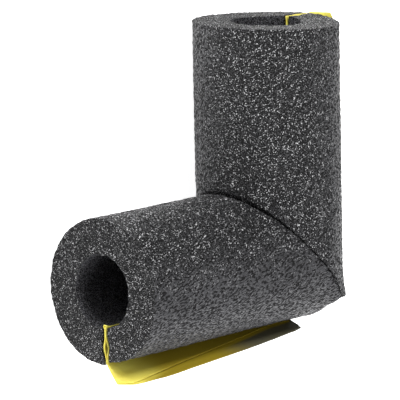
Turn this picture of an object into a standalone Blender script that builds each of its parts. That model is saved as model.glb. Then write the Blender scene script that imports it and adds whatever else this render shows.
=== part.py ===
"""Pipe insulation elbow: two mitred runs of split foam tube, each with the release liner of its slit.

The elbow is built standing, with the crossing of its two bores at the origin: the upper run goes up
along +Z, the lower run goes along -X, and they meet on the plane x = -z. It is then laid on its side.
"""

from math import cos, pi, radians, sin, sqrt

import bmesh
import bpy
from mathutils import Vector

# Foam tube of the two runs; the lower one is drawn in a little round its closed slit
BORE_RADIUS = 0.0127
WALL = 0.0127
UPPER_RADIUS = BORE_RADIUS + WALL
LOWER_RADIUS = UPPER_RADIUS - 0.0008
UPPER_LENGTH = 0.0834
LOWER_LENGTH = 0.0836
OUTER_SIDES = 64
BORE_SIDES = 48
MITRE_GAP = 0.0003

# Slit along the outside of the bend, turned a little about each run's axis
SLIT_WIDTH = 0.0018
UPPER_SLIT_TURN = radians(12)
LOWER_SLIT_TURN = radians(3.5)

# Release liner: one film, folded double, its fold inside the bore and its two tails outside
FILM_THICKNESS = 0.00035
LEAF_SPACING = 0.00085
FOAM_CLEARANCE = 0.0003
END_INSET = 0.0003
FLANGE = 0.0010
LINER_STATIONS = 10
NARROW_TAIL_SHARE = 0.5
NARROW_TAIL_EXTRA_LEAN = radians(9)
GREATEST_LEAN = radians(88)
LIP_BEND_INSET = SLIT_WIDTH / 4
EDGE_BEND_RADIUS = SLIT_WIDTH / 8
BEND_POINTS = 4
FOLD_POINTS = 4
TAIL_STEPS = 3

# Tails of the liners at shares of the run's length: lean from straight outwards, and width
LOWER_TAIL = (
    (0.00, radians(40), 0.0068),
    (0.10, radians(64), 0.0106),
    (0.20, radians(69), 0.0116),
    (0.50, radians(79), 0.0109),
    (0.80, radians(88), 0.0083),
    (0.88, radians(88), 0.0010),
    (1.00, radians(88), 0.0010),
)
UPPER_TAIL = (
    (0.00, radians(70), 0.0092),
    (0.80, radians(72), 0.0092),
    (0.88, radians(72), 0.0010),
    (1.00, radians(72), 0.0010),
)

FOAM_COLOUR = (0.035, 0.036, 0.040, 1.0)
FOAM_ROUGHNESS = 0.85
LINER_COLOUR = (0.80, 0.68, 0.07, 1.0)
LINER_ROUGHNESS = 0.35
SHARP_EDGE = radians(30)

# Cutters run this far past the foam
OVERRUN = 0.010


def clear_scene():
    """Removes the objects of the open scene."""
    for item in list(bpy.data.objects):
        bpy.data.objects.remove(item, do_unlink=True)


def new_collection(name):
    """Adds a collection to the scene."""
    collection = bpy.data.collections.new(name)
    bpy.context.scene.collection.children.link(collection)
    return collection


def move_to(item, collection, parent):
    """Puts an object in a collection and under a parent."""
    for old in list(item.users_collection):
        old.objects.unlink(item)
    collection.objects.link(item)
    item.parent = parent


def new_empty(name, collection, parent=None, rotation=(0.0, 0.0, 0.0)):
    """Adds an empty that carries a run, or the whole elbow."""
    empty = bpy.data.objects.new(name, None)
    empty.empty_display_size = UPPER_RADIUS
    collection.objects.link(empty)
    empty.parent = parent
    empty.rotation_euler = rotation
    return empty


def plain_material(name, colour, roughness):
    """Makes a Principled material of one colour."""
    material = bpy.data.materials.new(name)
    material.use_nodes = True
    shader = material.node_tree.nodes["Principled BSDF"]
    shader.inputs["Base Color"].default_value = colour
    shader.inputs["Roughness"].default_value = roughness
    shader.inputs["Metallic"].default_value = 0.0
    return material


def cylinder(name, sides, radius, bottom, top):
    """Adds an upright cylinder between two heights."""
    bpy.ops.mesh.primitive_cylinder_add(
        vertices=sides, radius=radius, depth=top - bottom, location=(0.0, 0.0, (top + bottom) / 2))
    item = bpy.context.object
    item.name = name
    return item


def box(name, size, location, rotation):
    """Adds a box whose size is applied to its mesh."""
    bpy.ops.mesh.primitive_cube_add(size=1.0)
    item = bpy.context.object
    item.name = name
    for vertex in item.data.vertices:
        vertex.co = Vector(a * b for a, b in zip(vertex.co, size))
    item.location = location
    item.rotation_euler = rotation
    return item


def cut(target, cutter, cutters, parent):
    """Takes a cutter's volume out of a part."""
    move_to(cutter, cutters, parent)
    cutter.hide_render = True
    cutter.display_type = "WIRE"
    modifier = target.modifiers.new(cutter.name, "BOOLEAN")
    modifier.operation = "DIFFERENCE"
    modifier.object = cutter


def foam_run(name, radius, length, slit_turn, run, parts, cutters, material):
    """Makes one run of foam tube: bored, mitred at the corner and slit along the outside."""
    tube = cylinder(name, OUTER_SIDES, radius, -radius - OVERRUN, length)
    move_to(tube, parts, run)
    tube.data.materials.append(material)

    bore = cylinder(
        name + "_bore_cutter", BORE_SIDES, BORE_RADIUS, -radius - 2 * OVERRUN, length + OVERRUN)
    cut(tube, bore, cutters, run)

    # The cutter's top face is the mitre plane, which slopes down towards the outside of the bend
    side = 6 * radius
    depth = (side - MITRE_GAP) / 2 / sqrt(2)
    mitre = box(name + "_mitre_cutter", (side, side, side), (-depth, 0.0, -depth), (0.0, pi / 4, 0.0))
    cut(tube, mitre, cutters, run)

    reach = radius + OVERRUN
    span = length + radius + 3 * OVERRUN
    slit = box(
        name + "_slit_cutter", (reach, SLIT_WIDTH, span),
        (reach / 2 * cos(slit_turn), reach / 2 * sin(slit_turn), span / 2 - radius - 2 * OVERRUN),
        (0.0, 0.0, slit_turn))
    cut(tube, slit, cutters, run)

    tube.data.shade_smooth()
    tube.data.set_sharp_from_angle(angle=SHARP_EDGE)
    return tube


def tail_at(tail, share):
    """Reads a tail's lean and width at a share of the run's length."""
    for (start, lean_a, width_a), (end, lean_b, width_b) in zip(tail, tail[1:]):
        if share <= end:
            blend = (share - start) / (end - start)
            return lean_a + blend * (lean_b - lean_a), width_a + blend * (width_b - width_a)
    return tail[-1][1:]


def arc(centre, radius, start, end, count):
    """Points on an arc, as (outwards, sideways) pairs; angle 0 points outwards, 90 degrees sideways."""
    step = (end - start) / (count - 1)
    angles = [start + index * step for index in range(count)]
    return [(centre[0] + radius * cos(angle), centre[1] + radius * sin(angle)) for angle in angles]


def leaf_outside(radius, offset, lean, width):
    """One leaf outside the foam, from the slit round its bend to the tail's free edge."""
    bend_centre = (radius + LIP_BEND_INSET, SLIT_WIDTH / 2)
    points = arc(bend_centre, bend_centre[1] - offset, -pi / 2, -pi / 2 + lean, BEND_POINTS)
    last = points[-1]
    for index in range(1, TAIL_STEPS + 1):
        reach = width * index / TAIL_STEPS
        points.append((last[0] + reach * cos(lean), last[1] + reach * sin(lean)))
    return points


def leaf_inside(offset):
    """One leaf from the slit's middle into the bore, along the bore's wall to the fold."""
    wall_gap = FOAM_CLEARANCE + FILM_THICKNESS / 2
    bend_side = LEAF_SPACING / 2 + EDGE_BEND_RADIUS
    bend_centre = (BORE_RADIUS - wall_gap - EDGE_BEND_RADIUS / 4, bend_side)
    radius = bend_side - offset
    points = [(BORE_RADIUS + WALL / 2, offset), (BORE_RADIUS, offset)]
    points += arc(bend_centre, radius, -pi / 2, -pi, BEND_POINTS)
    wall_radius = sqrt(points[-1][0] ** 2 + points[-1][1] ** 2)
    start = points[-1][1] / wall_radius
    end = start + FLANGE / BORE_RADIUS
    points += arc((0.0, 0.0), wall_radius, start, end, BEND_POINTS)[1:]
    return points


def liner_section(radius, lean, width):
    """The folded film's section, from the free edge of the narrow tail to that of the wide tail."""
    near = LEAF_SPACING / 2
    narrow_lean = min(lean + NARROW_TAIL_EXTRA_LEAN, GREATEST_LEAN)
    narrow = leaf_outside(radius, near, narrow_lean, width * NARROW_TAIL_SHARE)
    wide = leaf_outside(radius, -near, lean, width)
    near_inside = leaf_inside(near)
    far_inside = leaf_inside(-near)
    outer_end = Vector(near_inside[-1])
    inner_end = Vector(far_inside[-1])
    middle = (outer_end + inner_end) / 2
    along = Vector((-middle[1], middle[0])).normalized()
    across = outer_end - middle
    fold = []
    for index in range(1, FOLD_POINTS + 1):
        angle = pi * index / (FOLD_POINTS + 1)
        point = middle + across * cos(angle) + along * across.length * sin(angle)
        fold.append((point[0], point[1]))
    return narrow[::-1] + near_inside + fold + far_inside[::-1] + wide


def liner(name, radius, length, slit_turn, lean_side, tail, run, parts, material):
    """Makes a run's release liner as a loft of its folded section, from the end face to the mitre."""
    rows = []
    for index in range(LINER_STATIONS):
        share = index / (LINER_STATIONS - 1)
        section = liner_section(radius, *tail_at(tail, share))
        row = []
        for outwards, sideways in section:
            sideways *= lean_side
            x = outwards * cos(slit_turn) - sideways * sin(slit_turn)
            y = outwards * sin(slit_turn) + sideways * cos(slit_turn)
            top = length - END_INSET
            bottom = max(-x + 2 * MITRE_GAP, -radius)
            row.append((x, y, top + share * (bottom - top)))
        rows.append(row)

    mesh = bpy.data.meshes.new(name)
    shape = bmesh.new()
    grid = [[shape.verts.new(point) for point in row] for row in rows]
    for row, below in zip(grid, grid[1:]):
        for a, b, c, d in zip(row, row[1:], below[1:], below):
            shape.faces.new((a, b, c, d))
    shape.to_mesh(mesh)
    shape.free()

    item = bpy.data.objects.new(name, mesh)
    parts.objects.link(item)
    item.parent = run
    mesh.materials.append(material)
    film = item.modifiers.new("film", "SOLIDIFY")
    film.thickness = FILM_THICKNESS
    film.offset = 0.0
    mesh.shade_smooth()
    return item


def world_corners(item):
    """The world positions of a part's evaluated points."""
    evaluated = item.evaluated_get(bpy.context.evaluated_depsgraph_get())
    mesh = evaluated.to_mesh()
    points = [evaluated.matrix_world @ vertex.co for vertex in mesh.vertices]
    evaluated.to_mesh_clear()
    return points


def lay_down(elbow, pieces):
    """Lays the elbow on its side, with the middle of its footprint at the origin."""
    elbow.rotation_euler = (-pi / 2, 0.0, 0.0)
    bpy.context.view_layer.update()
    points = [point for piece in pieces for point in world_corners(piece)]
    low = [min(point[axis] for point in points) for axis in range(3)]
    high = [max(point[axis] for point in points) for axis in range(3)]
    elbow.location = (-(low[0] + high[0]) / 2, -(low[1] + high[1]) / 2, -low[2])
    bpy.context.view_layer.update()


def main():
    clear_scene()
    parts = new_collection("pipe_insulation_elbow")
    cutters = new_collection("cutters")
    foam = plain_material("foam", FOAM_COLOUR, FOAM_ROUGHNESS)
    film = plain_material("liner", LINER_COLOUR, LINER_ROUGHNESS)

    elbow = new_empty("elbow", parts)
    upper_run = new_empty("upper_run", parts, elbow)
    lower_run = new_empty("lower_run", parts, elbow, (0.0, pi / 2, pi))

    upper = (UPPER_RADIUS, UPPER_LENGTH, UPPER_SLIT_TURN)
    lower = (LOWER_RADIUS, LOWER_LENGTH, LOWER_SLIT_TURN)
    pieces = [
        foam_run("upper_leg", *upper, upper_run, parts, cutters, foam),
        foam_run("lower_leg", *lower, lower_run, parts, cutters, foam),
        liner("upper_liner", *upper, -1, UPPER_TAIL, upper_run, parts, film),
        liner("lower_liner", *lower, 1, LOWER_TAIL, lower_run, parts, film),
    ]
    lay_down(elbow, pieces)


if __name__ == "__main__":
    main()
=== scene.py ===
"""Pipe insulation elbow: two split runs of foam tube welded at a mitre, and the release film in each slit."""

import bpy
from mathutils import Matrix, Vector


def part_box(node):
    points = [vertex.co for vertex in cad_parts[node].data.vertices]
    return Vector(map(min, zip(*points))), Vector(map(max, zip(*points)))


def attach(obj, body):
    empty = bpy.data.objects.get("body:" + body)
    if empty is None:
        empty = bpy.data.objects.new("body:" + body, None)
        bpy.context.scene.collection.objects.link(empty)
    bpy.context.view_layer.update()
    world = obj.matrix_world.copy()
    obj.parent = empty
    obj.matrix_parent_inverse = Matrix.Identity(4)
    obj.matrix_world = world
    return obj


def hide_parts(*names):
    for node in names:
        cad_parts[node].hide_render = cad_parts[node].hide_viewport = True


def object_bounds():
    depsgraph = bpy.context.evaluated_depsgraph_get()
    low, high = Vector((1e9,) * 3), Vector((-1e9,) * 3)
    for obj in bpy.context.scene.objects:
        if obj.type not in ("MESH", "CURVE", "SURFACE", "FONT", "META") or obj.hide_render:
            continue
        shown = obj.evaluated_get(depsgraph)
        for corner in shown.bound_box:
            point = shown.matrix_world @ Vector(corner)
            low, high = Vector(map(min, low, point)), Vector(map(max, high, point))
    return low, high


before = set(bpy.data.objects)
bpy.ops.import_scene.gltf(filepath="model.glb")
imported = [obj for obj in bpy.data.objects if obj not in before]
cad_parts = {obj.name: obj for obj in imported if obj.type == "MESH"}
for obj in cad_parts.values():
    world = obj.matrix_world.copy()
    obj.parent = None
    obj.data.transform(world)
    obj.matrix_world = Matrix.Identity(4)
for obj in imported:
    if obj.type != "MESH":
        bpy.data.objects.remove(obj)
CAD_BOX = [list(corner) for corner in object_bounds()]

from math import asin, atan2, cos, exp, hypot, pi, radians, sin, sqrt

import bpy
import numpy as np
from bpy.props import FloatProperty, FloatVectorProperty, PointerProperty
from mathutils import Matrix, Vector, noise

bl_info = {
    "name": "Pipe insulation elbow",
    "version": (1, 0, 0),
    "blender": (4, 5, 0),
    "location": "View3D > Sidebar > Elbow",
    "description": "Makes a mitred elbow of split foam tube with the release film in its slits",
    "category": "Object",
}

MM = 0.001

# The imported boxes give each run's radius and length, and where the two bore axes cross
UPPER_LOW, UPPER_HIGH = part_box("upper_leg")
LOWER_LOW, LOWER_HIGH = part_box("lower_leg")
CROSSING = Vector((
    (UPPER_LOW[0] + UPPER_HIGH[0]) / 2,
    (LOWER_LOW[1] + LOWER_HIGH[1]) / 2,
    (UPPER_LOW[2] + UPPER_HIGH[2]) / 2,
))
UPPER_RADIUS = (UPPER_HIGH[0] - UPPER_LOW[0]) / 2
LOWER_RADIUS = (LOWER_HIGH[1] - LOWER_LOW[1]) / 2
UPPER_LENGTH = UPPER_HIGH[1] - CROSSING.y
LOWER_LENGTH = CROSSING.x - LOWER_LOW[0]

# A run is shaped along its own Z, its slit and the outside of the bend on its +X side
UPPER_PLACE = Matrix.Translation(CROSSING) @ Matrix((
    (1, 0, 0, 0), (0, 0, 1, 0), (0, -1, 0, 0), (0, 0, 0, 1)))
LOWER_PLACE = Matrix.Translation(CROSSING) @ Matrix((
    (0, 0, -1, 0), (-1, 0, 0, 0), (0, 1, 0, 0), (0, 0, 0, 1)))

# The raw tube and the slitting blade run on past the finished run, at its end and at the heel
TUBE_PAST_END = 5 * MM
TUBE_PAST_HEEL = 10 * MM
BLADE_PAST_END = 10 * MM
BLADE_PAST_HEEL = 20 * MM
BLADE_PAST_SKIN = 8 * MM

# Steps of the foam's noise patterns, as shares of a cell's width: the crowns and dents, the patches of
# painted glints where cell walls face the light, and the hollows under the painted sheen; a crown with its
# dent is about three steps wide
CROWN_STEP = 0.355
GLINT_PATCH_STEP = 1.1
HOLLOW_STEP = 0.56

# How much longer than wide the hollows under the painted sheen are, how much deeper than the noise, and how
# far the painted sheen lifts them towards the crowns
HOLLOW_STRETCH = 1.4
HOLLOW_GAIN = 0.19
SHEEN_RISE = 0.045

# Worn patches of the skin, and where along Y the lower run's skin turns from painted glints to a paler
# painted sheen
WORN_PATCH = 14 * MM
SHEEN_START_Y = -10 * MM
SHEEN_FULL_Y = -27 * MM

# Pebbling: width of the broad hollows, the dents' spacing as a share of a cell's width, and how much longer
# than wide they are along the run
BROAD_HOLLOW = 16 * MM
DENT_STEP = 1.45
DENT_STRETCH = 1.35

# Faces count as skin where they face outwards by this cosine, and as bore where they face inwards by this
# one and lie no further than this from the bore
SKIN_FACING = 0.72
BORE_FACING = 0.6
BORE_LAYER = 1.5 * MM

# Lips of a slit: angle over which the near lip is pressed in, where the far side sags out and over what
# angle, how much it sags, how much of all this reaches the bore, and the length over which the weld stops it
NEAR_LIP_SPREAD = 0.42
FAR_LIP_PLACE = 0.60
FAR_LIP_SPREAD = 0.50
FAR_LIP_SHARE = 0.75
BORE_SHARE = 0.3
WELD_HOLD = 30 * MM

# Lift of the end face beside the upper slit: angle that it spans, and length of foam that it draws along
LIFT_SPREAD = 0.6
LIFT_LENGTH = 8 * MM

# Crease along the weld: depth at the heel, what the inner corner adds, angles from the corner where it
# begins to fade and over which it fades, and half width
CREASE_AT_HEEL = 0.05 * MM
CREASE_AT_CORNER = 0.50 * MM
CREASE_FULL = radians(25)
CREASE_FADE = radians(40)
CREASE_WIDTH = 1.1 * MM

# Heel: how far round from the outside of the bend the rounding begins, and over what it grows, as cosines
HEEL_FROM = 0.55
HEEL_OVER = 0.30

# Ear at the near end of the seam: place in the run's frame, height, half width, and its lean outwards and
# sideways
EAR_OUT = 17.2 * MM
EAR_SIDE = 18.7 * MM
EAR_HEIGHT = 1.5 * MM
EAR_WIDTH = 5.0 * MM
EAR_LEAN_OUT = 0.5
EAR_LEAN_SIDE = 0.8

# Bend of the film over the lip of a slit: its centre's height over the skin and its side of the slit
LIP_RISE = 0.35 * MM
LIP_CENTRE = 0.9 * MM

# Points across the film: round a lip, across the narrow and the wide tail, down the slit and round the
# fold; and rows of them along the run
LIP_POINTS = 7
NARROW_POINTS = 12
WIDE_POINTS = 16
SLIT_POINTS = 16
FOLD_POINTS = 13
FILM_ROWS = 170

# Tails: least width, backward curl of the free edge, how far the narrow tail leans from the wide one, and
# its greatest share of the wide one's width
TAIL_LEAST = 0.2 * MM
TAIL_CURL = radians(5)
TAIL_SPLAY = radians(1)
NARROW_MOST = 0.97

# Along the run: share of the heel's rounding that the film leaves free, its distance from the mitre, and
# the waves of the tails
HEEL_FREE = 0.45
MITRE_FREE = 0.4 * MM
WAVE_LENGTH = 14 * MM

# Shares of the run's length from which, and over which, the film's edge slips into the slit and then deeper
TUCK_FROM = 0.825
TUCK_OVER = 0.03
DEEPER_FROM = 0.88
DEEPER_OVER = 0.08
DEEPER_SHARE = 0.6

# At the end face: how much of the leaves' bow is left further in and how soon, the length of the thicker
# fold and the upper film's share of it, and how the upper film's rise over the face grows from the bore's
# side to beyond the skin
BOW_LEFT = 0.2
BOW_LENGTH = 7 * MM
FLARE_LENGTH = 1.2 * MM
UPPER_FLARE = 0.2
RISE_INSIDE = 0.75
RISE_OVER = 0.06

# Shares of the run's length from which, and over which, painted shade darkens the film, and a painted shadow
# greys its bare edge; how much more painted shade that edge gets, and the points across the film over which
# it begins
PAINTED_SHADE_FROM = 0.005
PAINTED_SHADE_OVER = 0.21
PAINTED_SHADOW_FROM = 0.38
PAINTED_SHADOW_OVER = 0.22
BARE_SHADE = 0.35
BARE_FADE = 1.5

# Length of the film's shade patches, and how much narrower they are along Y
SHADE_PATCH = 9 * MM
SHADE_NARROW = 4.0

# Unlit film in the slit: depth from the end face at which the dark begins and over which it grows, the
# strip at the bore that stays lit, and how grey the rest is
DARK_FROM = 0.3 * MM
DARK_OVER = 1.2 * MM
LIT_STRIP = 0.6 * MM
DARK_GREY = 0.8

# Free edge of the film's wide tail at shares of the run's length: how far it stands out beyond the foam,
# how far it reaches sideways from the slit, and the width of the narrow tail beside it
LOWER_TAIL = (
    (0.000, 6.8 * MM, 4.5 * MM, 7.6 * MM),
    (0.030, 7.1 * MM, 8.9 * MM, 10.4 * MM),
    (0.070, 6.9 * MM, 9.8 * MM, 10.4 * MM),
    (0.150, 6.5 * MM, 11.0 * MM, 9.6 * MM),
    (0.240, 5.9 * MM, 11.4 * MM, 8.5 * MM),
    (0.310, 5.5 * MM, 11.3 * MM, 7.7 * MM),
    (0.370, 5.1 * MM, 11.3 * MM, 6.9 * MM),
    (0.440, 4.8 * MM, 11.4 * MM, 6.1 * MM),
    (0.520, 4.3 * MM, 11.1 * MM, 4.8 * MM),
    (0.590, 3.8 * MM, 11.0 * MM, 3.7 * MM),
    (0.700, 3.1 * MM, 10.4 * MM, 1.6 * MM),
    (0.770, 2.7 * MM, 9.8 * MM, 0.8 * MM),
    (0.809, 2.2 * MM, 9.0 * MM, 0.5 * MM),
    (0.828, 1.3 * MM, 5.3 * MM, 0.4 * MM),
    (0.836, 1.0 * MM, 0.9 * MM, 0.3 * MM),
    (1.000, 0.8 * MM, 0.4 * MM, 0.2 * MM),
)
UPPER_TAIL = (
    (0.000, 3.9 * MM, 7.0 * MM, 4.0 * MM),
    (0.015, 3.9 * MM, 8.0 * MM, 4.0 * MM),
    (0.780, 3.7 * MM, 7.8 * MM, 4.0 * MM),
    (0.820, 2.0 * MM, 4.0 * MM, 1.6 * MM),
    (0.835, 1.0 * MM, 0.9 * MM, 0.4 * MM),
    (1.000, 0.8 * MM, 0.4 * MM, 0.2 * MM),
)

# Lamps: name, place, aim, side in metres and power in watts
LAMPS = (
    ("key", (-0.18, 0.85, 0.80), (0, 0, 0.02), 0.25, 8.4),
    ("overhead", (0.3, 0.0, 1.5), (0, 0, 0), 1.2, 3.0),
    ("low", (-0.10, -0.90, 0.45), (0, 0, 0.02), 0.9, 13.0),
)

# Faint shade patches to a metre of the floor
FLOOR_PATCHES = 6.0


def hex_colour(text):
    """Turns an sRGB hex colour to linear values."""
    values = []
    for start in (0, 2, 4):
        value = int(text[start:start + 2], 16) / 255
        values.append(value / 12.92 if value <= 0.04045 else ((value + 0.055) / 1.055) ** 2.4)
    return (*values, 1.0)


# Settings


class FoamSettings(bpy.types.PropertyGroup):
    """Sizes and colours of the foam"""
    bore_radius: FloatProperty(
        name="Bore radius", description="Inner radius of both runs", default=12.7 * MM,
        subtype="DISTANCE", unit="LENGTH")
    mesh_step: FloatProperty(
        name="Mesh step", description="Spacing of the points on the foam's surface", default=0.53 * MM,
        subtype="DISTANCE", unit="LENGTH")
    slit_width: FloatProperty(
        name="Slit width", description="Opening of the slit at the bore and at the skin", default=1.4 * MM,
        subtype="DISTANCE", unit="LENGTH")
    slit_belly: FloatProperty(
        name="Slit belly", description="How much wider the slit is in the middle of the wall",
        default=1.6 * MM, subtype="DISTANCE", unit="LENGTH")
    belly_place: FloatProperty(
        name="Belly place", description="Where the belly is, as a share of the wall from the bore",
        default=0.55)
    belly_length: FloatProperty(
        name="Belly length", description="Length of the belly across the wall", default=2.4 * MM,
        subtype="DISTANCE", unit="LENGTH")
    upper_slit_turn: FloatProperty(
        name="Upper slit turn", description="Turn of the upper slit from the outside of the bend",
        default=radians(6.5), subtype="ANGLE", unit="ROTATION")
    lower_slit_turn: FloatProperty(
        name="Lower slit turn", description="Turn of the lower slit from the outside of the bend",
        default=radians(3.5), subtype="ANGLE", unit="ROTATION")
    end_drop: FloatProperty(
        name="End drop", description="How much shorter the upper run is cut on one side than on the other",
        default=2.03 * MM, subtype="DISTANCE", unit="LENGTH")
    end_turn: FloatProperty(
        name="End turn", description="Turn of the upper run's short side from the outside of the bend",
        default=radians(-36), subtype="ANGLE", unit="ROTATION")
    end_inset: FloatProperty(
        name="End inset", description="How much shorter the upper run is in its middle than on its long side",
        default=1.35 * MM, subtype="DISTANCE", unit="LENGTH")
    lower_end_drop: FloatProperty(
        name="Lower end drop", description="How much shorter the lower run is on the inside of the bend",
        default=0.8 * MM, subtype="DISTANCE", unit="LENGTH")
    slit_lift: FloatProperty(
        name="Slit lift", description="How far the end face stands up beside the upper slit",
        default=0.9 * MM, subtype="DISTANCE", unit="LENGTH")
    pebble_spare: FloatProperty(
        name="Pebble spare", description="Thickness that the pebbling takes off again", default=0.58 * MM,
        subtype="DISTANCE", unit="LENGTH")
    weld_spare: FloatProperty(
        name="Weld spare", description="How far the two runs sink into each other at the weld",
        default=0.3 * MM, subtype="DISTANCE", unit="LENGTH")
    heel_radius: FloatProperty(
        name="Heel rounding", description="Radius to which the heel of the weld is rounded",
        default=12.0 * MM, subtype="DISTANCE", unit="LENGTH")
    lip_step: FloatProperty(
        name="Lip step", description="How far the near lip of a slit is pressed in",
        default=0.9 * MM, subtype="DISTANCE", unit="LENGTH")
    unevenness: FloatProperty(
        name="Unevenness", description="Depth of the broad hollows in the skin", default=0.35 * MM,
        subtype="DISTANCE", unit="LENGTH")
    cell_depth: FloatProperty(
        name="Cell depth", description="Depth of the dents between the foam's cells", default=0.42 * MM,
        subtype="DISTANCE", unit="LENGTH")
    draw_turn: FloatProperty(
        name="Draw turn", description="Turn of the drawn-out cells from the lower run's length",
        default=radians(17), subtype="ANGLE", unit="ROTATION")
    cell_size: FloatProperty(
        name="Cell size", description="Width of one cell of the foam", default=1.15 * MM,
        subtype="DISTANCE", unit="LENGTH")
    # Painted shade: the dark colour painted into the dents between the cells
    dent_shade: FloatVectorProperty(
        name="Dents", description="Colour of the dents between cells", default=hex_colour("060607"), size=4,
        subtype="COLOR", min=0.0, max=1.0)
    light: FloatVectorProperty(
        name="Cells", description="Colour of the crowns of the cells", default=hex_colour("333335"), size=4,
        subtype="COLOR", min=0.0, max=1.0)
    # Painted glints: the pale colour painted where cell walls catch the light
    painted_glint: FloatVectorProperty(
        name="Glints", description="Colour of the cell walls that catch the light",
        default=hex_colour("f2f2f4"), size=4, subtype="COLOR", min=0.0, max=1.0)
    cut_face: FloatVectorProperty(
        name="Cut cells", description="Colour of the crowns on the cut faces", default=hex_colour("242426"),
        size=4, subtype="COLOR", min=0.0, max=1.0)
    # Painted light: the bore's crowns are painted lighter than the outer skin's
    bore_painted_light: FloatVectorProperty(
        name="Bore cells", description="Colour of the crowns in the bore", default=hex_colour("4a4a4e"),
        size=4, subtype="COLOR", min=0.0, max=1.0)


class FilmSettings(bpy.types.PropertyGroup):
    """Sizes and colours of the release film"""
    thickness: FloatProperty(
        name="Thickness", description="Thickness of the film", default=0.12 * MM,
        subtype="DISTANCE", unit="LENGTH")
    leaf_gap: FloatProperty(
        name="Leaf gap", description="Distance between the film's two leaves in the slit",
        default=0.36 * MM, subtype="DISTANCE", unit="LENGTH")
    bead: FloatProperty(
        name="Bead", description="Radius of the fold where it peeks out of the slit into the bore",
        default=0.24 * MM, subtype="DISTANCE", unit="LENGTH")
    bead_flare: FloatProperty(
        name="Bead flare", description="How much thicker the fold is at the end face", default=0.35 * MM,
        subtype="DISTANCE", unit="LENGTH")
    lens: FloatProperty(
        name="Lens", description="How far each leaf bows out in the middle of the wall at the end face",
        default=0.85 * MM, subtype="DISTANCE", unit="LENGTH")
    tuck: FloatProperty(
        name="Tuck", description="How deep the film's edge lies in the slit near the heel", default=2.4 * MM,
        subtype="DISTANCE", unit="LENGTH")
    rise: FloatProperty(
        name="Rise", description="How far the upper film stands above the slanting plane of the foam's end",
        default=1.3 * MM, subtype="DISTANCE", unit="LENGTH")
    ripple: FloatProperty(
        name="Ripple", description="Height of the soft waves along the tails", default=0.14 * MM,
        subtype="DISTANCE", unit="LENGTH")
    colour: FloatVectorProperty(
        name="Film", description="Colour of the film", default=hex_colour("fbf070"), size=4,
        subtype="COLOR", min=0.0, max=1.0)
    shade: FloatVectorProperty(
        name="Thick places", description="Colour of the film where it is creased",
        default=hex_colour("ecdc5c"), size=4, subtype="COLOR", min=0.0, max=1.0)
    # Painted shade: the darker colour painted towards the heel and on the wide tail's bare edge
    painted_shade: FloatVectorProperty(
        name="Dull end", description="Colour of the film towards the heel", default=hex_colour("9e8a26"),
        size=4, subtype="COLOR", min=0.0, max=1.0)
    # Painted shadow: the grey painted over the wide tail's bare end towards the heel
    shadow_grey: FloatVectorProperty(
        name="Dusty tail", description="Colour of the wide tail's bare end, greyed by foam dust",
        default=hex_colour("605d4a"), size=4, subtype="COLOR", min=0.0, max=1.0)


class StageSettings(bpy.types.PropertyGroup):
    """Floor, light of the room and camera"""
    floor_size: FloatProperty(
        name="Floor", description="Side of the floor", default=8.0, subtype="DISTANCE", unit="LENGTH")
    floor_colour: FloatVectorProperty(
        name="Floor colour", description="Colour of the floor", default=hex_colour("f6f6f6"), size=4,
        subtype="COLOR", min=0.0, max=1.0)
    floor_glow: FloatProperty(
        name="Floor glow", description="Light that comes up through the floor, as on a light table",
        default=0.9)
    surround: FloatProperty(
        name="Surround", description="Strength of the white room round the stage", default=0.5)
    camera_place: FloatVectorProperty(
        name="Camera", description="Place of the camera",
        default=CROSSING + Vector((-0.83303, 0.22446, 0.76479)), size=3, subtype="TRANSLATION", unit="LENGTH")
    camera_aim: FloatVectorProperty(
        name="Aim", description="Point in the middle of the picture",
        default=CROSSING + Vector((-0.01403, 0.01883, -0.02018)), size=3, subtype="TRANSLATION",
        unit="LENGTH")
    camera_roll: FloatProperty(
        name="Roll", description="Turn of the camera about its view", default=radians(98.4), subtype="ANGLE",
        unit="ROTATION")
    camera_lens: FloatProperty(
        name="Lens", description="Focal length in millimetres on a 36 mm sensor", default=294.2)


# Nodes and materials


def add_node(tree, kind, inputs=None, **settings):
    """Adds a node with its settings, and sets or links its inputs."""
    item = tree.nodes.new(kind)
    for name, value in settings.items():
        setattr(item, name, value)
    for name, value in (inputs or {}).items():
        if isinstance(value, bpy.types.NodeSocket):
            tree.links.new(value, item.inputs[name])
        else:
            item.inputs[name].default_value = value
    return item


def new_material(name):
    """Starts a material, and returns it with its tree and its Principled shader."""
    material = bpy.data.materials.new(name)
    material.use_nodes = True
    tree = material.node_tree
    return material, tree, tree.nodes["Principled BSDF"]


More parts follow.
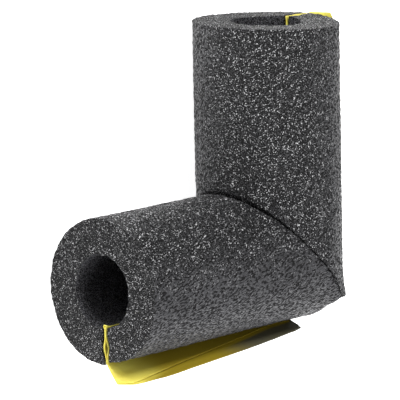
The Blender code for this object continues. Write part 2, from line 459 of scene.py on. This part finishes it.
def foam_material(name, foam, cell, crown, glints, relief, stretch=1.0, calm=0.0, grazing=0.0,
                  specular=0.25):
    """Charcoal closed-cell polyethylene foam. Its skin is pebbled by the cells under it, drawn out as the
    tube was extruded; pale glints are painted into the colour where thin cell walls catch the light, and
    painted shade darkens the dents between the cells. Cell is the width of a cell, crown the colour of the
    crowns, glints the greatest share of painted glints, relief the depth of the pebbling, stretch how drawn
    out the cells are, and specular the gloss of their walls. Calm is the greatest share of a paler painted
    sheen towards the outside of the bend, and grazing that of the painted sheen where the skin is seen edge
    on; under it the painted glints give way and the cells turn to longer, shallower hollows."""
    material, tree, shader = new_material(name)
    place = add_node(tree, "ShaderNodeTexCoord").outputs["Object"]
    drawn = add_node(tree, "ShaderNodeMapping", {
        0: place, "Rotation": (0.0, 0.0, foam.draw_turn), "Scale": (stretch, 1.0, 1.0)},
        vector_type="TEXTURE").outputs[0]
    cells = add_node(tree, "ShaderNodeTexNoise", {
        "Vector": drawn, "Scale": 1 / (CROWN_STEP * cell), "Detail": 0.0, "Distortion": 0.4})
    # Patches that stand for cell walls facing the light, where the painted glints show
    glint_patches = add_node(tree, "ShaderNodeTexNoise", {
        "Vector": drawn, "Scale": 1 / (GLINT_PATCH_STEP * cell), "Detail": 0.0})
    broad = add_node(tree, "ShaderNodeTexNoise", {"Vector": place, "Scale": 1 / WORN_PATCH, "Detail": 1.0})

    # Share of painted sheen: towards the outside of the bend, and where the skin is seen edge on
    outwards = add_node(tree, "ShaderNodeSeparateXYZ", {0: place}).outputs["Y"]
    heelwards = add_node(tree, "ShaderNodeMapRange", {
        "Value": outwards, "From Min": SHEEN_START_Y, "From Max": SHEEN_FULL_Y, "To Min": 0.0, "To Max": calm})
    rim = add_node(tree, "ShaderNodeLayerWeight", {"Blend": 0.5}).outputs["Facing"]
    edge_on = add_node(tree, "ShaderNodeMapRange", {
        "Value": rim, "From Min": 0.15, "From Max": 0.55, "To Min": 0.0, "To Max": grazing})
    sheen_share = add_node(tree, "ShaderNodeMath", {
        0: heelwards.outputs[0], 1: edge_on.outputs[0]}, operation="MAXIMUM")

    # Height of the skin: crowns and dents, turning to longer and shallower hollows under the painted sheen
    longer = add_node(tree, "ShaderNodeMapping", {
        0: place, "Rotation": (0.0, 0.0, foam.draw_turn),
        "Scale": (HOLLOW_STRETCH * stretch, HOLLOW_STRETCH / stretch, HOLLOW_STRETCH / stretch)},
        vector_type="TEXTURE").outputs[0]
    hollows = add_node(tree, "ShaderNodeTexNoise", {
        "Vector": longer, "Scale": 1 / (HOLLOW_STEP * cell), "Detail": 0.0})
    deeper = add_node(tree, "ShaderNodeMapRange", {
        "Value": hollows.outputs["Fac"], "From Min": 0.0, "From Max": 1.0,
        "To Min": -HOLLOW_GAIN, "To Max": 1 + HOLLOW_GAIN})
    height = add_node(tree, "ShaderNodeMix", {
        0: sheen_share.outputs[0], 2: cells.outputs["Fac"], 3: deeper.outputs[0]}, data_type="FLOAT").outputs[0]

    # Painted shade darkens the pits between the cells, their crowns are a mid grey, and a painted sheen makes
    # them paler towards the outside of the bend and where the skin is seen edge on
    raised = add_node(tree, "ShaderNodeMath", {
        0: sheen_share.outputs[0], 1: SHEEN_RISE, 2: height}, operation="MULTIPLY_ADD")
    crest = add_node(tree, "ShaderNodeMapRange", {
        "Value": raised.outputs[0], "From Min": 0.40, "From Max": 0.58, "To Min": 0.0, "To Max": 1.0},
        interpolation_type="SMOOTHSTEP")
    body = add_node(tree, "ShaderNodeMix", {0: crest.outputs[0], 6: foam.dent_shade, 7: crown}, data_type="RGBA")
    worn = add_node(tree, "ShaderNodeMapRange", {
        "Value": broad.outputs["Fac"], "From Min": 0.35, "From Max": 0.65, "To Min": 0.85, "To Max": 1.15})
    # Painted sheen: the colour grows paler with the square of its share, over the worn patches
    squared = add_node(tree, "ShaderNodeMath", {
        0: sheen_share.outputs[0], 1: sheen_share.outputs[0]}, operation="MULTIPLY")
    sheen_and_wear = add_node(tree, "ShaderNodeMath", {0: squared.outputs[0], 1: worn.outputs[0]}, operation="ADD")
    mottled_and_sheen = add_node(tree, "ShaderNodeMix", {0: 1.0, 6: body.outputs[2], 7: sheen_and_wear.outputs[0]},
                       data_type="RGBA", blend_type="MULTIPLY")

    # The highest walls are painted as glints, in patches that stand for walls facing the light, and give way
    # under the painted sheen
    wall = add_node(tree, "ShaderNodeMapRange", {
        "Value": cells.outputs["Fac"], "From Min": 0.625, "From Max": 0.72, "To Min": 0.0, "To Max": 1.0},
        interpolation_type="SMOOTHSTEP")
    lit = add_node(tree, "ShaderNodeMapRange", {
        "Value": glint_patches.outputs["Fac"], "From Min": 0.30, "From Max": 0.70, "To Min": 0.0, "To Max": glints},
        interpolation_type="SMOOTHSTEP")
    beyond_sheen = add_node(tree, "ShaderNodeMath", {0: 1.0, 1: sheen_share.outputs[0]}, operation="SUBTRACT")
    share = add_node(tree, "ShaderNodeMath", {0: wall.outputs[0], 1: lit.outputs[0]}, operation="MULTIPLY")
    share = add_node(tree, "ShaderNodeMath", {
        0: share.outputs[0], 1: beyond_sheen.outputs[0]}, operation="MULTIPLY")
    colour = add_node(tree, "ShaderNodeMix", {
        0: share.outputs[0], 6: mottled_and_sheen.outputs[2], 7: foam.painted_glint}, data_type="RGBA")
    tree.links.new(colour.outputs[2], shader.inputs["Base Color"])

    # Crowns are glossier than the dents
    rough = add_node(tree, "ShaderNodeMapRange", {
        "Value": height, "From Min": 0.45, "From Max": 0.60, "To Min": 0.80, "To Max": 0.28})
    tree.links.new(rough.outputs[0], shader.inputs["Roughness"])
    bump = add_node(tree, "ShaderNodeBump", {"Strength": 1.0, "Distance": relief, "Height": height})
    tree.links.new(bump.outputs[0], shader.inputs["Normal"])
    shader.inputs["Specular IOR Level"].default_value = specular
    return material


def film_material(film):
    """Yellow silicone-coated polyethylene release film: glossy, with painted shade darkening it towards the
    heel and on its bare wide tail, and a painted grey shadow over that tail's far end.
    """
    material, tree, shader = new_material("release_film_yellow_polyethylene")
    place = add_node(tree, "ShaderNodeTexCoord").outputs["Object"]
    drawn = add_node(tree, "ShaderNodeMapping", {0: place, "Scale": (1.0, SHADE_NARROW, 1.0)}).outputs[0]
    cloud = add_node(tree, "ShaderNodeTexNoise", {"Vector": drawn, "Scale": 1 / SHADE_PATCH, "Detail": 1.0})
    tone = add_node(tree, "ShaderNodeMapRange", {
        "Value": cloud.outputs["Fac"], "From Min": 0.38, "From Max": 0.66, "To Min": 0.0, "To Max": 1.0})
    clean = add_node(tree, "ShaderNodeMix", {
        0: tone.outputs[0], 6: film.colour, 7: film.shade}, data_type="RGBA")
    # Painted shade darkens the film towards the heel
    painted_shade = add_node(tree, "ShaderNodeAttribute", attribute_name="painted_shade")
    colour = add_node(tree, "ShaderNodeMix", {
        0: painted_shade.outputs["Fac"], 6: clean.outputs[2], 7: film.painted_shade}, data_type="RGBA")
    # Painted shadow greys the wide tail's bare end
    painted_shadow = add_node(tree, "ShaderNodeAttribute", attribute_name="painted_shadow")
    colour = add_node(tree, "ShaderNodeMix", {
        0: painted_shadow.outputs["Fac"], 6: colour.outputs[2], 7: film.shadow_grey}, data_type="RGBA")
    tree.links.new(colour.outputs[2], shader.inputs["Base Color"])
    rough = add_node(tree, "ShaderNodeMapRange", {
        "Value": cloud.outputs["Fac"], "From Min": 0.3, "From Max": 0.7, "To Min": 0.30, "To Max": 0.42})
    tree.links.new(rough.outputs[0], shader.inputs["Roughness"])
    shader.inputs["Specular IOR Level"].default_value = 0.25
    return material


# Foam


def only(item):
    """Selects one object and makes it the active one."""
    bpy.ops.object.select_all(action="DESELECT")
    item.select_set(True)
    bpy.context.view_layer.objects.active = item


def apply_modifier(item, kind, **settings):
    """Adds a modifier to an object and applies it."""
    only(item)
    modifier = item.modifiers.new(kind.lower(), kind)
    for name, value in settings.items():
        setattr(modifier, name, value)
    bpy.ops.object.modifier_apply(modifier=modifier.name)


def take_out(item, cutter):
    """Cuts one object's volume out of another, and deletes the cutter."""
    apply_modifier(item, "BOOLEAN", operation="DIFFERENCE", solver="EXACT", object=cutter)
    only(cutter)
    bpy.ops.object.delete()


def points_of(item):
    """Reads the points of an object's mesh."""
    flat = np.empty(len(item.data.vertices) * 3)
    item.data.vertices.foreach_get("co", flat)
    return flat.reshape(-1, 3)


def set_points(item, points):
    """Writes the points of an object's mesh."""
    item.data.vertices.foreach_set("co", points.ravel())
    item.data.update()


def smooth_step(value):
    """Rises softly from 0 to 1 as the value goes from 0 to 1."""
    value = np.clip(value, 0.0, 1.0)
    return value * value * (3 - 2 * value)


def slit_cutter(foam, radius, length, turn):
    """A blade with a belly: narrow at the bore and the skin, wider in the middle of the wall."""
    reach = radius + BLADE_PAST_SKIN
    bottom = -radius - BLADE_PAST_HEEL
    top = length + BLADE_PAST_END
    bpy.ops.object.select_all(action="DESELECT")
    bpy.ops.mesh.primitive_grid_add(x_subdivisions=40, y_subdivisions=1, size=1.0)
    blade = bpy.context.object
    points = points_of(blade)
    outwards = (points[:, 0] + 0.5) * reach
    along = (points[:, 1] + 0.5) * (top - bottom) + bottom
    set_points(blade, np.stack([outwards, np.zeros(len(points)), along], 1))
    apply_modifier(blade, "SOLIDIFY", thickness=foam.slit_width, offset=0.0, use_even_offset=False)
    points = points_of(blade)
    middle = foam.bore_radius + foam.belly_place * (radius - foam.bore_radius)
    belly = foam.slit_belly * np.exp(-((points[:, 0] - middle) / foam.belly_length) ** 2)
    half = (foam.slit_width + belly) / 2
    points[:, 1] = np.sign(points[:, 1]) * half
    set_points(blade, points)
    blade.rotation_euler = (0.0, 0.0, turn)
    return blade


def cut_across(item, place, normal):
    """Cuts a tube across, takes away what lies on the normal's side, and closes its wall again."""
    only(item)
    bpy.ops.object.mode_set(mode="EDIT")
    bpy.ops.mesh.select_all(action="SELECT")
    bpy.ops.mesh.bisect(plane_co=place, plane_no=normal, use_fill=False, clear_outer=True)
    bpy.ops.mesh.select_all(action="DESELECT")
    bpy.ops.mesh.select_non_manifold()
    bpy.ops.mesh.bridge_edge_loops()
    bpy.ops.object.mode_set(mode="OBJECT")


def upper_end(foam):
    """The upper run's end, which was cut a little aslant: height in the middle, and slopes along X and Y."""
    slope = foam.end_drop / (2 * UPPER_RADIUS)
    return UPPER_LENGTH - foam.end_inset, slope * cos(foam.end_turn), slope * sin(foam.end_turn)


def lower_end(foam):
    """The lower run's end, cut a little longer on the outside of the bend."""
    slope = foam.lower_end_drop / (2 * LOWER_RADIUS)
    return LOWER_LENGTH - foam.lower_end_drop / 2, -slope, 0.0


def end_height(end, x, y):
    """Height of a run's end over a place across it; end holds the height in the middle and the two slopes."""
    return end[0] - end[1] * x - end[2] * y


def tube(name, foam, radius, length, turn, end):
    """A run of foam tube along Z: bored, cut at its end, mitred, slit, and meshed evenly so that its skin can
    be pebbled. It starts a little too thick, because the pebbling only dents it."""
    spare = foam.pebble_spare
    bottom = -radius - TUBE_PAST_HEEL
    top = length + TUBE_PAST_END
    bpy.ops.object.select_all(action="DESELECT")
    bpy.ops.mesh.primitive_cylinder_add(
        vertices=180, radius=radius + spare, depth=top - bottom, location=(0.0, 0.0, (top + bottom) / 2))
    item = bpy.context.object
    item.name = name
    bpy.ops.object.transform_apply(location=True, rotation=False, scale=False)

    bpy.ops.object.select_all(action="DESELECT")
    bpy.ops.mesh.primitive_cylinder_add(
        vertices=120, radius=foam.bore_radius - spare, depth=length + 4 * radius,
        location=(0.0, 0.0, length / 2))
    take_out(item, bpy.context.object)
    cut_across(item, (0.0, 0.0, end[0] + spare), (end[1], end[2], 1.0))
    cut_across(item, (-foam.weld_spare, 0.0, 0.0), (-1.0, 0.0, -1.0))
    take_out(item, slit_cutter(foam, radius, length, turn))

    apply_modifier(item, "REMESH", mode="VOXEL", voxel_size=foam.mesh_step, adaptivity=0.0)
    return item


def sort_faces(item, foam):
    """Gives the skin, the cut faces and the bore their places in the material list: 0, 1 and 2."""
    count = len(item.data.polygons)
    centres = np.empty(count * 3)
    normals = np.empty(count * 3)
    item.data.polygons.foreach_get("center", centres)
    item.data.polygons.foreach_get("normal", normals)
    centres = centres.reshape(-1, 3)
    normals = normals.reshape(-1, 3)
    radius = np.hypot(centres[:, 0], centres[:, 1])
    outwards = (centres[:, 0] * normals[:, 0] + centres[:, 1] * normals[:, 1]) / radius
    kind = np.ones(count, dtype=np.int32)
    kind[outwards > SKIN_FACING] = 0
    kind[(outwards < -BORE_FACING) & (radius < foam.bore_radius + BORE_LAYER)] = 2
    item.data.polygons.foreach_set("material_index", kind)


def pebble(item, foam):
    """Dents the surface inwards: broad hollows first, then the cells, drawn out along the run."""
    bpy.ops.object.select_all(action="DESELECT")
    bpy.ops.object.empty_add(type="PLAIN_AXES")
    drawn = bpy.context.object
    drawn.scale = (1.0, 1.0, DENT_STRETCH)
    bpy.context.view_layer.update()
    broad = bpy.data.textures.new("hollows", "CLOUDS")
    broad.noise_scale = BROAD_HOLLOW
    broad.noise_depth = 1
    cells = bpy.data.textures.new("cells", "VORONOI")
    cells.noise_scale = DENT_STEP * foam.cell_size
    for texture, depth in ((broad, foam.unevenness), (cells, -foam.cell_depth)):
        apply_modifier(
            item, "DISPLACE", texture=texture, texture_coords="OBJECT", texture_coords_object=drawn,
            direction="NORMAL", strength=depth, mid_level=1.0 if depth > 0 else 0.0)
    only(drawn)
    bpy.ops.object.delete()


def press_lips(item, foam, radius, end, turn, side):
    """Presses the near lip of the slit in, lets the far side of its wall sag out a little, and lifts the end
    face beside the upper slit."""
    points = points_of(item)
    reach = np.hypot(points[:, 0], points[:, 1])
    angle = (np.arctan2(points[:, 1], points[:, 0]) - turn) * side
    from_weld = smooth_step((points[:, 2] + points[:, 0]) / WELD_HOLD)
    near = np.where(angle > 0, np.exp(-(angle / NEAR_LIP_SPREAD) ** 2), 0.0)
    far = np.where(angle < 0, np.exp(-((angle + FAR_LIP_PLACE) / FAR_LIP_SPREAD) ** 2), 0.0)
    depth = np.clip((reach - foam.bore_radius) / (radius - foam.bore_radius), 0.0, 1.0)
    shift = (FAR_LIP_SHARE * far - near) * foam.lip_step * from_weld * (BORE_SHARE + (1 - BORE_SHARE) * depth)
    points[:, :2] *= (1 + shift / reach)[:, None]
    if side < 0:
        near_end = smooth_step((points[:, 2] - end[0]) / LIFT_LENGTH + 1.0)
        points[:, 2] += foam.slit_lift * near_end * np.exp(-(angle / LIFT_SPREAD) ** 2)
    set_points(item, points)


def weld(item, foam, radius, side):
    """Shapes the run where the two are welded: a soft crease along the mitre, a rounded heel, and the ear of
    foam that the hot blade pushed out beside it."""
    points = points_of(item)
    x, y, z = points.T
    reach = np.hypot(x, y)
    from_weld = z + x
    skin = np.clip((reach - foam.bore_radius) / (radius - foam.bore_radius), 0.0, 1.0)

    # Crease along the mitre's rim, deep in the inner corner and nearly closed towards the heel
    from_corner = np.arctan2(np.abs(y), -x)
    depth = CREASE_AT_HEEL + CREASE_AT_CORNER * (1 - smooth_step((from_corner - CREASE_FULL) / CREASE_FADE))
    crease = depth * np.exp(-(from_weld / CREASE_WIDTH) ** 2) * skin ** 4
    x -= crease * x / reach
    y -= crease * y / reach

    # Heel rounded in the plane of the bend, by an arc that meets both the skin and the mitre
    bulge = smooth_step((x / reach - HEEL_FROM) / HEEL_OVER) * skin
    rounding = foam.heel_radius * bulge
    along = np.clip(from_weld, 0.0, rounding)
    root = 4 * rounding - 2 * along
    inwards = (root - np.sqrt(np.maximum(root ** 2 - 8 * (along - rounding) ** 2, 0.0))) / 4
    x -= inwards
    z += inwards

    # Ear at the near end of the seam
    ear = Vector((EAR_OUT, side * EAR_SIDE, -EAR_OUT))
    squares = (points - np.array(ear)) ** 2
    swell = EAR_HEIGHT * np.exp(-squares.sum(1) / EAR_WIDTH ** 2) * skin
    x += EAR_LEAN_OUT * swell
    y += side * EAR_LEAN_SIDE * swell
    set_points(item, np.stack([x, y, z], 1))


def settle(item):
    """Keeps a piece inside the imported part's box, and so flat where it rests on the floor."""
    set_points(item, np.clip(points_of(item), CAD_BOX[0], CAD_BOX[1]))


def foam_run(name, node, foam, radius, length, turn, end, side, place, materials):
    """Makes one run's foam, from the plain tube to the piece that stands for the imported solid. Side is 1 or
    -1: the near lip of the slit, over which the film's tails lean, is on that side along the run's Y."""
    item = tube(name, foam, radius, length, turn, end)
    sort_faces(item, foam)
    pebble(item, foam)
    press_lips(item, foam, radius, end, turn, side)
    weld(item, foam, radius, side)
    item.data.transform(place)
    settle(item)
    for material in materials:
        item.data.materials.append(material)
    only(item)
    bpy.ops.object.shade_smooth()
    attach(item, "root")
    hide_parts(node)


class FoamRuns(bpy.types.Operator):
    """Make the two runs of foam tube"""
    bl_idname = "elbow.foam_runs"
    bl_label = "Foam runs"

    def execute(self, context):
        foam = context.scene.elbow_foam

        # The last three values of a run are its skin's stretch, calm and grazing
        runs = (
            ("upper_foam", "upper_leg", UPPER_RADIUS, UPPER_LENGTH, foam.upper_slit_turn, upper_end(foam), -1,
             UPPER_PLACE, 1.0, 0.0, 0.65),
            ("lower_foam", "lower_leg", LOWER_RADIUS, LOWER_LENGTH, foam.lower_slit_turn, lower_end(foam), 1,
             LOWER_PLACE, 1.45, 0.85, 0.0),
        )

        # The blade opened the cells of the cut faces, which look finer, darker and less glossy than the skin
        cut = foam_material(
            "polyethylene_foam_cut", foam, 0.85 * foam.cell_size, foam.cut_face, glints=0.65, relief=0.7 * MM,
            specular=0.16)

        # The bore's skin is smooth and dull, with few painted glints; its crowns are painted lighter than the
        # outer skin's, a painted light for the bore that the lamps barely reach
        bore = foam_material(
            "polyethylene_foam_bore", foam, foam.cell_size, foam.bore_painted_light, glints=0.12, relief=0.4 * MM)
        for name, node, radius, length, turn, end, side, place, stretch, calm, grazing in runs:
            skin = foam_material(
                name + "_extruded_polyethylene", foam, foam.cell_size, foam.light, glints=0.80,
                relief=1.0 * MM, stretch=stretch, calm=calm, grazing=grazing)
            foam_run(name, node, foam, radius, length, turn, end, side, place, (skin, cut, bore))
        return {"FINISHED"}


# Release film


def tail_at(tail, share):
    """Reads a tail's row at a share of the run's length."""
    for (start, *before), (end, *after) in zip(tail, tail[1:]):
        if share <= end:
            blend = (share - start) / (end - start)
            return [a + blend * (b - a) for a, b in zip(before, after)]
    return tail[-1][1:]


def reach_edge(lift, bend, out, aside):
    """Works out the lean and width of a leaf that turns out of the slit on a bend, and ends at an edge."""
    rise = out - lift
    run = aside - LIP_CENTRE
    width = sqrt(max(rise * rise + run * run - bend * bend, TAIL_LEAST ** 2))
    return atan2(run, rise) + atan2(bend, width), width


def arc(centre, radius, start, end, count):
    """Points on an arc, as (outwards, sideways) pairs; angle 0 points outwards, 90 degrees sideways."""
    angles = [start + index * (end - start) / (count - 1) for index in range(count)]
    return [(centre[0] + radius * cos(angle), centre[1] + radius * sin(angle)) for angle in angles]


def leaf_outside(radius, offset, lean, width, ripple, count):
    """One leaf outside the foam, from the slit round the lip to the tail's free edge."""
    centre = (radius + LIP_RISE, LIP_CENTRE)
    points = arc(centre, centre[1] - offset, -pi / 2, -pi / 2 + lean, LIP_POINTS)
    last = points[-1]
    for index in range(1, count + 1):
        share = index / count
        lift = ripple * share * share
        turn = lean + TAIL_CURL * (share - 1.0)
        points.append((
            last[0] + share * width * cos(turn) + lift * sin(lean),
            last[1] + share * width * sin(turn) - lift * cos(lean)))
    return points


def leaf_inside(foam, radius, exit_radius, half, lens, edge):
    """One leaf from the skin through the slit to the bore's edge, bowed out where the slit has its belly."""
    middle = foam.bore_radius + foam.belly_place * (radius - foam.bore_radius)
    sign = 1 if half > 0 else -1
    points = []
    for index in range(1, SLIT_POINTS + 1):
        outwards = exit_radius + (edge - exit_radius) * index / SLIT_POINTS
        open_up = lens * exp(-((outwards - middle) / foam.belly_length) ** 2)
        points.append((outwards, half + sign * open_up))
    return points


def film_section(foam, film, radius, lip, lens, bead, edge, narrow_width, ripple):
    """The folded film's section, from the free edge of the narrow tail to that of the wide tail."""
    half = film.leaf_gap / 2
    exit_radius = radius - lip
    bore_edge = foam.bore_radius - BORE_SHARE * min(lip, foam.lip_step)
    lean, width = reach_edge(LIP_RISE - lip, LIP_CENTRE + half, *edge)
    narrow_width = min(narrow_width, NARROW_MOST * width)
    narrow = leaf_outside(exit_radius, half, lean + TAIL_SPLAY, narrow_width, ripple, NARROW_POINTS)
    wide = leaf_outside(exit_radius, -half, lean, width, ripple, WIDE_POINTS)
    near = leaf_inside(foam, radius, narrow[0][0], half, lens, bore_edge)
    far = leaf_inside(foam, radius, wide[0][0], -half, lens, bore_edge)
    mouth = asin(half / bead)
    fold = arc((bore_edge - bead * cos(mouth), 0.0), bead, mouth, 2 * pi - mouth, FOLD_POINTS)[1:-1]
    return narrow[::-1] + near + fold + far[::-1] + wide


def film_run(name, node, foam, film, radius, end, turn, side, tail, lip, rise, flare, place, material):
    """Lays one run's film, row by row, from the end face to the weld. Side is the run's, as in foam_run."""
    first_wave = Vector((7.0 * side, 3.0, 1.0))
    bottom = -radius + HEEL_FREE * foam.heel_radius
    last = (end[0] - bottom) / (end[0] + radius)
    grid = []
    tints = []
    for index in range(FILM_ROWS):
        part = index / (FILM_ROWS - 1)
        share = last * part
        out, aside, narrow_width = tail_at(tail, share)
        from_end = share * (end[0] + radius)
        fade = float(smooth_step((end[0] + radius - from_end) / WELD_HOLD))
        deeper = DEEPER_SHARE * smooth_step((share - DEEPER_FROM) / DEEPER_OVER)
        tuck = film.tuck * float(smooth_step((share - TUCK_FROM) / TUCK_OVER) + deeper)
        lens = film.lens * (BOW_LEFT + (1 - BOW_LEFT) * exp(-(from_end / BOW_LENGTH) ** 2))
        bead = film.bead + flare * exp(-(from_end / FLARE_LENGTH) ** 2)
        ripple = film.ripple * 2 * noise.noise(first_wave + Vector((from_end / WAVE_LENGTH, 4.0, 0.0)))
        section = film_section(
            foam, film, radius, lip * fade + tuck, lens, bead, (out - tuck, aside), narrow_width, ripple)
        row = []
        for outwards, sideways in section:
            x = outwards * cos(turn) - sideways * side * sin(turn)
            y = outwards * sin(turn) + sideways * side * cos(turn)
            rim = min(1.0, radius / hypot(x, y))
            beyond_skin = smooth_step((1 / rim - 1) / RISE_OVER)
            top = end_height(end, x * rim, y * rim) + rise * (RISE_INSIDE + (1 - RISE_INSIDE) * beyond_skin)
            row.append((x, y, max(top + part * (bottom - top), -x + MITRE_FREE)))
        grid.append(row)

        # Painted shade darkens the film towards the heel and where the wide tail lies bare beyond the narrow
        # one, and a painted shadow greys that bare tail further towards the heel
        painted_shade = float(smooth_step((share - PAINTED_SHADE_FROM) / PAINTED_SHADE_OVER))
        painted_shadow = float(smooth_step((share - PAINTED_SHADOW_FROM) / PAINTED_SHADOW_OVER))
        edge_step = hypot(section[-1][0] - section[-2][0], section[-1][1] - section[-2][1])
        narrow_ends = len(section) - WIDE_POINTS + narrow_width / edge_step
        bare = [float(smooth_step((column - narrow_ends) / BARE_FADE)) for column in range(len(section))]
        tints.append([(min(1.0, painted_shade + BARE_SHADE * open_share), painted_shadow * open_share) for open_share in bare])

        # No light reaches the film inside the slit
        hidden = float(smooth_step((from_end - DARK_FROM) / DARK_OVER))
        tail_points = LIP_POINTS + NARROW_POINTS - 1
        for column in range(tail_points, len(section) - tail_points):
            if foam.bore_radius + LIT_STRIP < section[column][0] < radius - lip:
                tints[-1][column] = (max(painted_shade, hidden), DARK_GREY * hidden)

    columns = len(grid[0])
    bpy.ops.object.select_all(action="DESELECT")
    bpy.ops.mesh.primitive_grid_add(x_subdivisions=columns - 1, y_subdivisions=FILM_ROWS - 1, size=1.0)
    item = bpy.context.object
    item.name = name
    flat = points_of(item)
    column = np.rint((flat[:, 0] + 0.5) * (columns - 1)).astype(int)
    row = np.rint((flat[:, 1] + 0.5) * (FILM_ROWS - 1)).astype(int)
    set_points(item, np.array(grid)[row, column])
    for index, tint in enumerate(("painted_shade", "painted_shadow")):
        values = item.data.attributes.new(tint, "FLOAT", "POINT")
        values.data.foreach_set("value", np.array(tints)[row, column, index])
    apply_modifier(item, "SOLIDIFY", thickness=film.thickness, offset=0.0)
    item.data.transform(place)
    settle(item)
    item.data.materials.append(material)
    only(item)
    bpy.ops.object.shade_smooth()
    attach(item, "root")
    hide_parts(node)


class ReleaseFilms(bpy.types.Operator):
    """Make the folded release film of each slit"""
    bl_idname = "elbow.release_films"
    bl_label = "Release films"

    def execute(self, context):
        foam = context.scene.elbow_foam
        film = context.scene.elbow_film
        material = film_material(film)
        film_run(
            "upper_film", "upper_liner", foam, film, UPPER_RADIUS, upper_end(foam), foam.upper_slit_turn, -1,
            UPPER_TAIL, 0.0, film.rise, UPPER_FLARE * film.bead_flare, UPPER_PLACE, material)
        film_run(
            "lower_film", "lower_liner", foam, film, LOWER_RADIUS, lower_end(foam), foam.lower_slit_turn, 1,
            LOWER_TAIL, foam.lip_step, 0.0, film.bead_flare, LOWER_PLACE, material)
        return {"FINISHED"}


# Stage


def area_light(name, place, aim, size, power):
    """A soft square lamp that faces a point."""
    bpy.ops.object.select_all(action="DESELECT")
    bpy.ops.object.light_add(type="AREA", location=place)
    lamp = bpy.context.object
    lamp.name = name
    lamp.data.shape = "SQUARE"
    lamp.data.size = size
    lamp.data.energy = power
    lamp.rotation_euler = (Vector(place) - Vector(aim)).to_track_quat("Z", "Y").to_euler()


class Stage(bpy.types.Operator):
    """Make the floor, the lamps and the camera"""
    bl_idname = "elbow.stage"
    bl_label = "Stage"

    def execute(self, context):
        stage = context.scene.elbow_stage
        bpy.ops.object.select_all(action="DESELECT")
        bpy.ops.mesh.primitive_plane_add(size=stage.floor_size)
        floor = context.object
        floor.name = "floor"
        material, tree, shader = new_material("floor_matt_white_board")
        place = add_node(tree, "ShaderNodeTexCoord").outputs["Object"]
        cloud = add_node(tree, "ShaderNodeTexNoise", {"Vector": place, "Scale": FLOOR_PATCHES, "Detail": 1.0})
        paper = add_node(tree, "ShaderNodeMix", {
            0: cloud.outputs["Fac"], 6: stage.floor_colour, 7: hex_colour("fbfbfb")}, data_type="RGBA")
        tree.links.new(paper.outputs[2], shader.inputs["Base Color"])
        shader.inputs["Roughness"].default_value = 0.9
        shader.inputs["Specular IOR Level"].default_value = 0.2
        shader.inputs["Emission Color"].default_value = hex_colour("ffffff")
        shader.inputs["Emission Strength"].default_value = stage.floor_glow
        floor.data.materials.append(material)

        world = bpy.data.worlds.new("white_room")
        world.use_nodes = True
        background = world.node_tree.nodes["Background"]
        background.inputs["Color"].default_value = hex_colour("ffffff")
        background.inputs["Strength"].default_value = stage.surround
        context.scene.world = world
        context.scene.view_settings.view_transform = "Standard"

        for lamp in LAMPS:
            area_light(*lamp)

        bpy.ops.object.camera_add(location=stage.camera_place)
        camera = context.object
        camera.name = "camera"
        away = Vector(stage.camera_place) - Vector(stage.camera_aim)
        level = Vector((-away.y, away.x, 0.0)).normalized()
        upright = away.normalized().cross(level)
        right = level * cos(stage.camera_roll) + upright * sin(stage.camera_roll)
        up = away.normalized().cross(right)
        camera.rotation_euler = Matrix((right, up, away.normalized())).transposed().to_euler()
        camera.data.lens = stage.camera_lens
        camera.data.sensor_width = 36.0
        camera.data.clip_start = 0.05
        camera.data.clip_end = 50.0
        context.scene.camera = camera
        return {"FINISHED"}


class ElbowPanel(bpy.types.Panel):
    """Lists the elbow's pieces and settings"""
    bl_label = "Pipe insulation elbow"
    bl_idname = "VIEW3D_PT_elbow"
    bl_space_type = "VIEW_3D"
    bl_region_type = "UI"
    bl_category = "Elbow"

    def draw(self, context):
        for settings, operator in (
                ("elbow_foam", FoamRuns), ("elbow_film", ReleaseFilms), ("elbow_stage", Stage)):
            box = self.layout.box()
            box.operator(operator.bl_idname)
            group = getattr(context.scene, settings)
            for name in group.__annotations__:
                box.prop(group, name)


CLASSES = (FoamSettings, FilmSettings, StageSettings, FoamRuns, ReleaseFilms, Stage, ElbowPanel)


def register():
    """Registers the settings, the operators and the panel."""
    for item in CLASSES:
        bpy.utils.register_class(item)
    bpy.types.Scene.elbow_foam = PointerProperty(type=FoamSettings)
    bpy.types.Scene.elbow_film = PointerProperty(type=FilmSettings)
    bpy.types.Scene.elbow_stage = PointerProperty(type=StageSettings)


def unregister():
    """Takes back what register did."""
    del bpy.types.Scene.elbow_stage
    del bpy.types.Scene.elbow_film
    del bpy.types.Scene.elbow_foam
    for item in reversed(CLASSES):
        bpy.utils.unregister_class(item)


def main():
    """Makes the elbow and its stage."""
    register()
    bpy.ops.elbow.foam_runs()
    bpy.ops.elbow.release_films()
    bpy.ops.elbow.stage()


if __name__ == "__main__":
    main()
